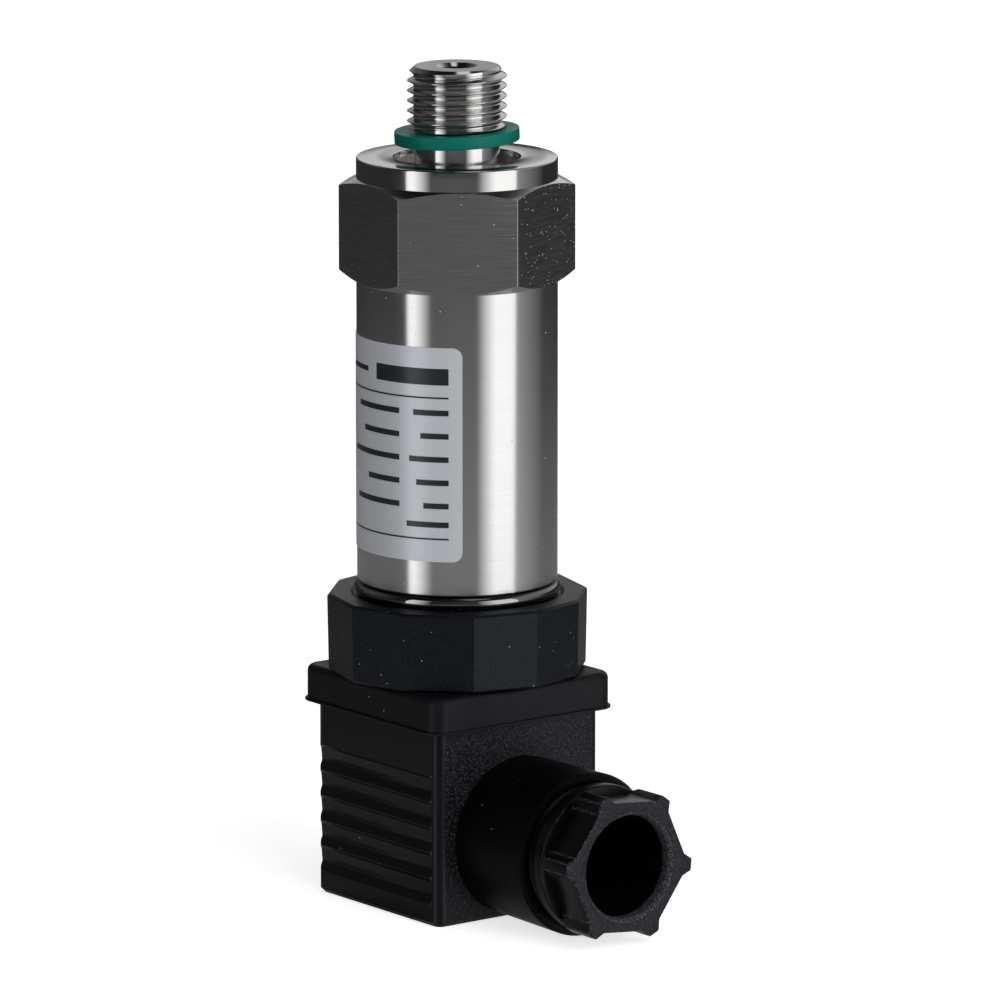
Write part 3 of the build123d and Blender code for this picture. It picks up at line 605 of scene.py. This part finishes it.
# Silicone rubber, moulded: matt black with soft broad highlights and a little dust
gasketRubber = moulded("mouldedSilicone", "#0a0a0e", 0.48, 0.4, 0.004, violetGloss, fineDust)
# Polyamide, moulded smooth: satin black whose reflections lean to violet
plugSkin = moulded("mouldedPolyamide", "#06060a", 0.33, 0.5, 0.004, violetGloss, fineDust)
# Polyamide from a spark-eroded mould: a coarse grit of grey flecks on black
plugGrain = grained("sparkErodedPolyamide", "#020203", "#3c3c44", 0.4, 0.24, 0.1, violetGloss)
# Polyamide with a painted highlight: pale rough dots at the ends of the waves stand in for light catching
# where they run out
plugEndHighlight = grained("paintedWaveEndHighlight", "#1c1c20", "#a0a0a6", 0.5, 0.2, 0.08, violetGloss)
# Polyamide from a polished mould: the deepest black, with a long soft shine along the neck
neckGloss = moulded("polishedMouldPolyamide", "#030305", 0.42, 0.5, 0.002, neckShine, fineDust)
# Polyamide, moulded glossy: black lugs with clear highlights
nutPlastic = moulded("glossyPolyamide", "#060607", 0.3, 0.3, 0.003, {"Specular IOR Level": 0.25})
# Polyamide from a finely grained mould: a dull dark grey front
nutGrain = grained("fineGrainPolyamide", "#1b1a1e", "#34343a", 0.48, 0.25, 0.08, violetGloss)
# Polyamide: the bevelled edges of the head and lugs are coloured greyer and speckled
nutEdge = grained("speckledGreyPolyamideEdge", "#0c0c0f", "#56565c", 0.4, 0.25, 0.06, violetGloss)
# Polyamide with a painted highlight: the lip of the hole is painted the palest grey, where light catches it
nutLipHighlight = grained("paintedLipHighlight", "#242327", "#6c6b72", 0.4, 0.2, 0.08, violetGloss)
# Alumina, fired and ground: an ivory white without shine
alumina = moulded("groundAlumina", "#e9e5db", 0.5, 0.2, 0.004)
# Solder mask, sprayed on the boards: a clear glossy green
boardGreen = moulded("solderMask", "#1d5c38", 0.3, 1.2, 0.006, {"Coat Weight": 0.4})
# Brass, tin-plated: a soft warm silver
tinPlate = moulded("tinPlatedBrass", "#cfcdc6", 0.3, 0.15, 0.002, metal)
# Brass, machined: a warm yellow with satin highlights
bareBrass = moulded("machinedBrass", "#d0a65e", 0.28, 0.12, 0.002, metal)
# Epoxy compound, moulded: a matt charcoal block
chipResin = moulded("epoxyMouldingCompound", "#17181a", 0.55, 0.15, 0.006)
# Aluminium, deep-drawn: a bright smooth can
drawnCan = moulded("drawnAluminium", "#c7c8cb", 0.32, 0.12, 0.002, metal)
# Polyamide, moulded in grey: a plain satin surface
insertPlastic = moulded("mouldedGreyPolyamide", "#2b2d30", 0.5, 0.3, 0.006)
# Steel, zinc-plated: a cool silver, slightly cloudy
zincPlate = moulded("zincPlatedSteel", "#c3c6ca", 0.34, 0.2, 0.003, metal)
# Silicone rubber, extruded on the wires: soft even colours with a dull shine
wireRed = moulded("redSilicone", "#a81f1c", 0.45, 0.4, 0.003)
wireBlue = moulded("blueSilicone", "#20459b", 0.45, 0.4, 0.003)
wireWhite = moulded("whiteSilicone", "#dedad2", 0.45, 0.4, 0.003)
wireGreen = moulded("greenSilicone", "#2c7a3a", 0.45, 0.4, 0.003)
print("materials ready")


# Pressure port: the stud with its pipe thread, the collar and the hexagon, turned from one bar

port = {
    "collarRadius": 13.3,
    "collarHeight": 2.75,
    "collarBevel": 0.25,
    "grooveRadius": 8.43,
    "grooveDepth": 1.0,
    "grooveBevel": 0.08,
    "spigotRadius": 11.98,  # it fits into the case
    "spigotLength": 5.0,
    "chamberRadius": 10.05,
    "chamberTop": -15.95,
    "seatRadius": 9.05,  # the cell sits in it
    "seatTop": -9.5,
    "acrossFlats": 27.0,
    "hexHeight": 13.65,
    "topSlope": 25.0,
    "bottomSlope": 30.0,
    "hexTurn": -6.7,
    "cornerBevel": 0.04,
    "reliefRadius": 5.63,
    "reliefBevel": 0.15,
    "studLength": 12.0,
    "channelRadius": 2.25,
    "channelBevel": 0.45,
}
studThread = {
    "crest": 6.5785,
    "pitch": 1.337,
    "flankAngle": 27.5,
    "tipShare": 0.08,
    "rootShare": 0.19,
    "depthShare": 0.6403,
    "low": 3.4515,
    "lowRadius": 5.63,
    "high": 12.0,
    "highRadius": 5.5785,
    "phase": -0.2,
}


def makePort():
    hexTop = -port["collarHeight"]
    hexBottom = hexTop - port["hexHeight"]
    reach = port["acrossFlats"] / sqrt(3) + 1
    overhang = reach - port["collarRadius"]
    shape = turnShape([
        (port["reliefRadius"], studThread["low"]),
        (port["reliefRadius"], -port["grooveDepth"], port["reliefBevel"]),
        (port["grooveRadius"], -port["grooveDepth"]),
        (port["grooveRadius"], 0, port["grooveBevel"]),
        (port["collarRadius"], 0, port["collarBevel"]),
        (port["collarRadius"], hexTop),
        (reach, hexTop - overhang * tan(radians(port["topSlope"]))),
        (reach, hexBottom + overhang * tan(radians(port["bottomSlope"]))),
        (port["collarRadius"], hexBottom),
        (port["spigotRadius"], hexBottom),
        (port["spigotRadius"], hexBottom - port["spigotLength"]),
        (port["chamberRadius"], hexBottom - port["spigotLength"]),
        (port["chamberRadius"], port["chamberTop"]),
        (port["seatRadius"], port["chamberTop"]),
        (port["seatRadius"], port["seatTop"]),
        (port["channelRadius"], port["seatTop"]),
        (port["channelRadius"], port["studLength"] - port["channelBevel"]),
        (port["channelRadius"] + port["channelBevel"], port["studLength"]),
        (studThread["highRadius"], port["studLength"]),
    ], closed=False)
    for side in range(6):
        angle = radians(port["hexTurn"] + 30 + 60 * side)
        outward = Vector((cos(angle), sin(angle), 0))
        cut = sliceShape(shape, outward * port["acrossFlats"] / 2, outward, clear=True)
        rim = [part for part in cut["geom_cut"] if isinstance(part, bmesh.types.BMEdge)]
        bmesh.ops.edgeloop_fill(shape, edges=rim, mat_nr=1)
    corners = [edge for edge in shape.edges if len(edge.link_faces) == 2
               and all(face.material_index == 1 for face in edge.link_faces)]
    bmesh.ops.bevel(shape, geom=corners, offset=port["cornerBevel"], affect="EDGES", segments=2,
                    profile=0.5, material=1)
    shape = joinShapes(shape, threadSurface(studThread))
    finishPiece(shape, "threadedPort", "sensor", "pressure_port",
                       [turnedSteel, milledSteel])


makePort()


# Green sealing ring with a thin inner lip, askew under the last thread

sealingRing = {
    "radius": 8.25,
    "bore": 5.68,
    "height": 1.66,
    "edge": 0.14,
    "land": 1.6,
    "landEdge": 0.08,
    "lip": 0.5,
    "level": 2.8,
    "tilt": 2.2,
    "lean": -37.4,
}


def makeSealingRing():
    half = sealingRing["height"] / 2
    land = sealingRing["radius"] - sealingRing["land"]
    shape = turnShape([
        (sealingRing["bore"], -sealingRing["lip"] / 2),
        (land, -half, sealingRing["landEdge"]),
        (sealingRing["radius"], -half, sealingRing["edge"]),
        (sealingRing["radius"], half, sealingRing["edge"]),
        (land, half, sealingRing["landEdge"]),
        (sealingRing["bore"], sealingRing["lip"] / 2),
    ], closed=True)
    lean = radians(sealingRing["lean"])
    tilt = Matrix.Rotation(radians(sealingRing["tilt"]), 4, Vector((cos(lean), sin(lean), 0)))
    place = Matrix.Translation((0, 0, sealingRing["level"])) @ tilt
    bmesh.ops.transform(shape, matrix=place, verts=shape.verts)
    finishPiece(shape, "greenSealingRing", "sensor", "profile_ring", [sealGreen])


makeSealingRing()


# Stainless case

case = {
    "radius": 13.3,
    "bore": 12.0,
    "top": -16.4,
    "rim": -56.5,
    "rimBevel": 0.25,
}

finishPiece(turnShape([
    (case["bore"], case["top"]),
    (case["radius"], case["top"]),
    (case["radius"], case["rim"], case["rimBevel"]),
    (case["bore"], case["rim"]),
], closed=True), "stainlessCase", "sensor", "body_tube", [tubeSteel])


# Type label, a film wrapped round the case

label = {
    "radius": 13.32,
    "thickness": 0.08,
    "height": 28.5,
    "top": -23.3,
    "rightEdge": -34.2,
    "sweep": 197.0,
    "corner": 1.3,
    "cornerSteps": 8,
    "columns": 98,
    "marks": [  # middle across, middle up, half length and half height of each bar, from the sheet's middle
        (15.6, 10.4, 5.5, 1.1),
        (2.2, 10.4, 6.0, 0.35),
        (8.2, 7.6, 12.9, 0.12),
        (8.2, -11.2, 12.9, 0.12),
        (18.7, 5.6, 2.4, 0.38),
        (19.2, 2.5, 1.9, 0.38),
        (18.4, -0.6, 2.7, 0.38),
        (18.9, -3.7, 2.2, 0.38),
        (19.4, -6.8, 1.7, 0.38),
        (9.9, 5.6, 4.3, 0.38),
        (10.7, 2.5, 3.5, 0.38),
        (8.9, -0.6, 5.3, 0.38),
        (11.2, -3.7, 3.0, 0.38),
        (9.5, -6.8, 4.7, 0.38),
        (18.2, -9.3, 2.9, 0.38),
        (-0.6, 2.5, 3.4, 0.38),
        (-0.9, -3.7, 3.1, 0.38),
        (-14.0, 0.0, 6.0, 0.12),
        (-14.0, 7.6, 6.0, 0.12),
        (-14.0, -7.6, 6.0, 0.12),
    ],
}


def makeLabel():
    length = radians(label["sweep"]) * label["radius"]
    shape = bmesh.new()
    bmesh.ops.create_grid(shape, x_segments=1, y_segments=1, size=0.5)
    bmesh.ops.scale(shape, vec=(length, label["height"], 1), verts=shape.verts)
    bmesh.ops.bevel(shape, geom=shape.verts[:], offset=label["corner"], affect="VERTICES",
                    segments=label["cornerSteps"], profile=0.5, material=-1)
    for column in range(1, label["columns"]):
        place = (column / label["columns"] - 0.5) * length
        sliceShape(shape, (place, 0, 0), (1, 0, 0), tolerance=1e-5)
    sheet = shape.loops.layers.uv.new("printSheet")  # metres from the sheet's middle
    for face in shape.faces:
        for loop in face.loops:
            loop[sheet].uv = loop.vert.co.xy * mm
    bmesh.ops.solidify(shape, geom=shape.faces[:], thickness=label["thickness"])
    low = min(vert.co.z for vert in shape.verts)
    for vert in shape.verts:
        angle = radians(label["rightEdge"]) + (vert.co.x - length / 2) / label["radius"]
        radius = label["radius"] + vert.co.z - low
        vert.co = (cos(angle) * radius, sin(angle) * radius, label["top"] - label["height"] / 2 + vert.co.y)
    finishPiece(shape, "typeLabel", "sensor", "type_label",
                       [printedFilmMaterial(label["marks"])])


makeLabel()


# Glossy black ring between the case's rim and the connector base

baseRing = {"section": 1.025, "radius": 12.665, "steps": 28}


def makeBaseRing():
    shape = bmesh.new()
    circle = bmesh.ops.create_circle(shape, cap_ends=False, segments=baseRing["steps"],
                                     radius=baseRing["section"])
    bmesh.ops.rotate(shape, verts=circle["verts"], cent=(0, 0, 0), matrix=Matrix.Rotation(pi / 2, 3, "X"))
    bmesh.ops.translate(shape, verts=shape.verts, vec=(baseRing["radius"], 0, baseRingLevel))
    bmesh.ops.spin(shape, geom=shape.verts[:] + shape.edges[:], cent=(0, 0, 0), axis=(0, 0, 1),
                   dvec=(0, 0, 0), angle=2 * pi, steps=180, use_merge=True)
    bmesh.ops.remove_doubles(shape, verts=shape.verts, dist=1e-5)
    finishPiece(shape, "blackBaseRing", "sensor", "base_seal_ring", [sealBlack])


makeBaseRing()


# Twelve-sided connector base, with its moulded edges rounded

connectorBase = {"edge": 0.12}


def makeConnectorBase():
    shape = mergedCopy("connector_base")
    bevelSharp(shape, connectorBase["edge"])
    finishPiece(shape, "connectorBase", "sensor", "connector_base",
                       [basePlastic], flats=True)


makeConnectorBase()


# Square plug housing with waves on two sides and the gland's neck

plug = {
    "half": 13.5,
    "edge": 0.14,
    "glandLevel": -89.0,
    "neckCuts": (13.9, 14.3, 15.0, 16.5, 19.0, 22.0, 25.0, 27.0),
    "grainFrom": 11.3,  # radius round the neck where the grain starts
    "waves": 5,
    "wavePitch": 3.46,
    "waveShape": ((0.0, 0.0), (0.5, 0.72), (2.4, 0.98), (3.46, 0.0)),  # down from a ridge, depth there
    "waveLevel": -95.2,  # middle of the lowest hollow
    "waveEnd": 12.2,
    "waveFade": 0.8,
    "waveRows": 32,
    "waveRounding": 7,  # steps averaged to each side
    # Where the hollows end, the painted highlight: its length along the face and the depths it lies between
    "highlightLength": 0.5,
    "highlightDepths": (12.3, 13.47),
    "flush": 0.02,  # what lies this close to a face belongs to it
}


def makeWaveCutter(side):
    cutter = bmesh.new()
    height = plug["waves"] * plug["wavePitch"]
    low = plug["waveLevel"] - plug["wavePitch"] / 2
    steps = plug["waveRows"] * 4
    around = range(-plug["waveRounding"], plug["waveRounding"] + 1)
    fine = []
    for step in range(steps):
        place = plug["wavePitch"] * step / steps
        for (start, first), (end, second) in zip(plug["waveShape"], plug["waveShape"][1:]):
            if start <= place <= end:
                fine.append(first + (second - first) * (place - start) / (end - start))
                break
    soft = [sum(fine[(step + shift) % steps] for shift in around) / len(around) for step in range(steps)]
    start = -plug["half"] - 1
    length = plug["waveEnd"] - start
    bmesh.ops.create_grid(cutter, x_segments=1, y_segments=plug["waves"] * plug["waveRows"], size=0.5)
    place = Matrix.Translation((start + length / 2, 0, low + height / 2)) @ Matrix.Rotation(pi / 2, 4, "X")
    bmesh.ops.transform(cutter, matrix=place @ Matrix.Diagonal((length, height, 1, 1)), verts=cutter.verts)
    for step in range(4):
        sliceShape(cutter, (plug["waveEnd"] - plug["waveFade"] * (1 - step / 4), 0, 0), (1, 0, 0))
    for vert in cutter.verts:
        phase = (low - vert.co.z) / plug["wavePitch"]
        fade = min(1, (plug["waveEnd"] - vert.co.x) / plug["waveFade"])
        depth = soft[round((phase % 1) * steps) % steps] * sqrt(max(0, fade))
        vert.co.y = side * (plug["half"] + plug["flush"] - depth)
    outer = bmesh.ops.extrude_face_region(cutter, geom=cutter.faces[:], use_keep_orig=True)["geom"]
    for part in outer:
        if isinstance(part, bmesh.types.BMVert):
            part.co.y = side * (plug["half"] + plug["wavePitch"])
    bmesh.ops.recalc_face_normals(cutter, faces=cutter.faces)
    return cutter


def makePlug():
    shape = mergedCopy("plug_housing")
    bevelSharp(shape, plug["edge"])
    for side in (-1, 1):
        shape = cutAway(shape, makeWaveCutter(side))
    for cut in plug["neckCuts"]:  # short faces keep the long neck's shading even
        sliceShape(shape, (cut, 0, 0), (1, 0, 0))
    for face in shape.faces:
        centre = face.calc_center_median()
        farthest = max(hypot(vert.co.y, vert.co.z - plug["glandLevel"]) for vert in face.verts)
        if centre.x > plug["half"] + plug["flush"]:
            face.material_index = 2
        elif centre.x > plug["half"] - plug["flush"] and farthest > plug["grainFrom"]:
            face.material_index = 1
        # the end walls of the hollows get the painted highlight
        elif (plug["waveEnd"] - plug["highlightLength"] < centre.x < plug["waveEnd"]
              and plug["highlightDepths"][0] < abs(centre.y) < plug["highlightDepths"][1]):
            face.material_index = 3
    finishPiece(shape, "plugHousing", "plug", "plug_housing",
                       [plugSkin, plugGrain, neckGloss, plugEndHighlight], flats=True)


makePlug()


# Rubber profile gasket between them

gasket = {"edge": 0.1}


def makeGasket():
    shape = mergedCopy("profile_gasket")
    bevelSharp(shape, gasket["edge"], angle=50)
    finishPiece(shape, "profileGasket", "plug", "profile_gasket",
                       [gasketRubber], flats=True)


makeGasket()


# Gland nut: a threaded shank, a round collar and a hexagonal head with a lug at each corner

nut = {
    "shankEnd": 21.4,
    "collarBack": 29.2,
    "headBack": 31.2,
    "front": 37.1,
    "collarRadius": 9.9,
    "collarEdge": 0.3,
    "flatRadius": 8.6,
    "lugRadius": 10.4,
    "lugWidth": 3.0,
    "lugTip": 1.6,
    "lugShoulder": 0.9,
    "lugBevel": 0.8,
    "edge": 0.2,
    "holeRadius": 6.76,
    "lip": 0.95,
    "mouth": 1.7,
    "frontSkin": 0.12,  # faces this close to the front are its grained skin
    "turn": -6.0,
}
nutThread = {
    "crest": 9.3,
    "pitch": 1.41,
    "flankAngle": 30.0,
    "tipShare": 0.12,
    "rootShare": 0.12,
    "depthShare": 0.58,
    "low": 21.4,
    "lowRadius": 8.6,
    "high": 29.2,
    "highRadius": 8.6,
    "phase": 0.35,
}


def makeNut():
    shape = turnShape([
        (nutThread["lowRadius"], nut["shankEnd"]),
        (nut["holeRadius"], nut["shankEnd"]),
        (nut["holeRadius"], nut["headBack"]),
        (nut["collarRadius"], nut["headBack"], nut["collarEdge"]),
        (nut["collarRadius"], nut["collarBack"], nut["collarEdge"] / 2),
        (nutThread["highRadius"], nut["collarBack"]),
    ], closed=False)
    shape = joinShapes(shape, threadSurface(nutThread))
    head = bmesh.new()
    corner = nut["flatRadius"] / cos(radians(30))
    shoulder = corner - nut["lugShoulder"]
    taper = (nut["lugWidth"] - nut["lugTip"]) / 2 / (nut["lugRadius"] - shoulder)
    rootX = (corner * sqrt(3) - nut["lugWidth"] / 2 - taper * shoulder) / (sqrt(3) - taper)
    rootY = (corner - rootX) * sqrt(3)
    outline = [(rootX, -rootY), (nut["lugRadius"], -nut["lugTip"] / 2),
               (nut["lugRadius"], nut["lugTip"] / 2), (rootX, rootY)]
    corners = []
    for side in range(6):
        turn = Matrix.Rotation(radians(60 * side), 3, "Z")
        corners += [head.verts.new(turn @ Vector((x, y, nut["headBack"]))) for x, y in outline]
    rim = [head.edges.new(pair) for pair in zip(corners, corners[1:] + corners[:1])]
    circle = bmesh.ops.create_circle(head, cap_ends=False, segments=96, radius=nut["holeRadius"])["verts"]
    bmesh.ops.translate(head, vec=(0, 0, nut["headBack"]), verts=circle)
    inner = [edge for edge in head.edges if edge not in rim]
    bmesh.ops.bridge_loops(head, edges=rim + inner)
    raised = bmesh.ops.extrude_face_region(head, geom=head.faces[:], use_keep_orig=True)["geom"]
    bmesh.ops.translate(head, vec=(0, 0, nut["front"] - nut["headBack"]),
                        verts=[part for part in raised if isinstance(part, bmesh.types.BMVert)])
    bmesh.ops.recalc_face_normals(head, faces=head.faces)
    lipEdges = [edge for edge in head.edges if all(
        abs(vert.co.xy.length - nut["holeRadius"]) < 0.01 and vert.co.z > nut["front"] - 0.01
        for vert in edge.verts)]
    bmesh.ops.bevel(head, geom=lipEdges, offset=nut["lip"], affect="EDGES", segments=4, profile=0.5,
                    material=-1)
    lugEdges = [edge for edge in head.edges if all(
        vert.co.xy.length > nut["lugRadius"] and vert.co.z < nut["headBack"] + 0.01
        for vert in edge.verts)]
    bmesh.ops.bevel(head, geom=lugEdges, offset=nut["lugBevel"], affect="EDGES", segments=1, profile=0.5,
                    material=-1)
    outerEdges = [edge for edge in head.edges if len(edge.link_faces) == 2
                  and edge.calc_face_angle() > radians(20)
                  and all(vert.co.xy.length > nut["holeRadius"] + 1 for vert in edge.verts)]
    # the bevels take the greyer, speckled edge colour
    bmesh.ops.bevel(head, geom=outerEdges, offset=nut["edge"], affect="EDGES", segments=3, profile=0.5,
                    material=2)
    sliceShape(head, (0, 0, nut["front"] - nut["mouth"]), (0, 0, 1))
    joinShapes(shape, head, weld=False)
    turn = Matrix.Translation((0, 0, plug["glandLevel"])) @ Matrix.Rotation(pi / 2, 4, "Y")
    turn = turn @ Matrix.Rotation(radians(90 + nut["turn"]), 4, "Z")
    bmesh.ops.transform(shape, matrix=turn, verts=shape.verts)
    for face in shape.faces:
        centre = face.calc_center_median()
        behind = nut["front"] - centre.x
        inside = hypot(centre.y, centre.z - plug["glandLevel"]) < nut["holeRadius"] + nut["lip"]
        # faces just inside the hole's mouth get the painted highlight of the lip
        if face.material_index == 0 and inside and nut["mouth"] > behind > nut["frontSkin"]:
            face.material_index = 3
        elif face.material_index == 0 and behind < nut["frontSkin"]:
            face.material_index = 1
    finishPiece(shape, "glandNut", "nut", "gland_nut",
                       [nutPlastic, nutGrain, nutEdge, nutLipHighlight])


makeNut()


# What is inside keeps its CAD shape and gets its finish

insideFinish = [
    (alumina, ("sensing_cell",)),
    (sealBlack, ("cell_seal_ring",)),
    (bareBrass, ("cell_retainer", "board_spacers", "threaded_bush", "first_terminal", "second_terminal",
                 "third_terminal", "earth_terminal")),
    (tinPlate, ("cell_pins", "link_pins", "first_blade", "second_blade", "third_blade", "earth_blade")),
    (boardGreen, ("signal_board", "output_board")),
    (chipResin, ("amplifier_chip", "chip_resistors")),
    (drawnCan, ("filter_capacitors",)),
    (wireRed, ("first_lead",)),
    (wireBlue, ("second_lead",)),
    (wireWhite, ("third_lead",)),
    (wireGreen, ("earth_lead",)),
    (insertPlastic, ("contact_insert",)),
    (zincPlate, ("terminal_screws", "fixing_screw", "screw_washer")),
    (gasketRubber, ("cable_grommet",)),
    (nutPlastic, ("clamp_ring",)),
]

for finish, nodeNames in insideFinish:
    for nodeName in nodeNames:
        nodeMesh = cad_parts[nodeName].data
        nodeMesh.materials.clear()
        nodeMesh.materials.append(finish)
print("inside finished")


print("scene ready")
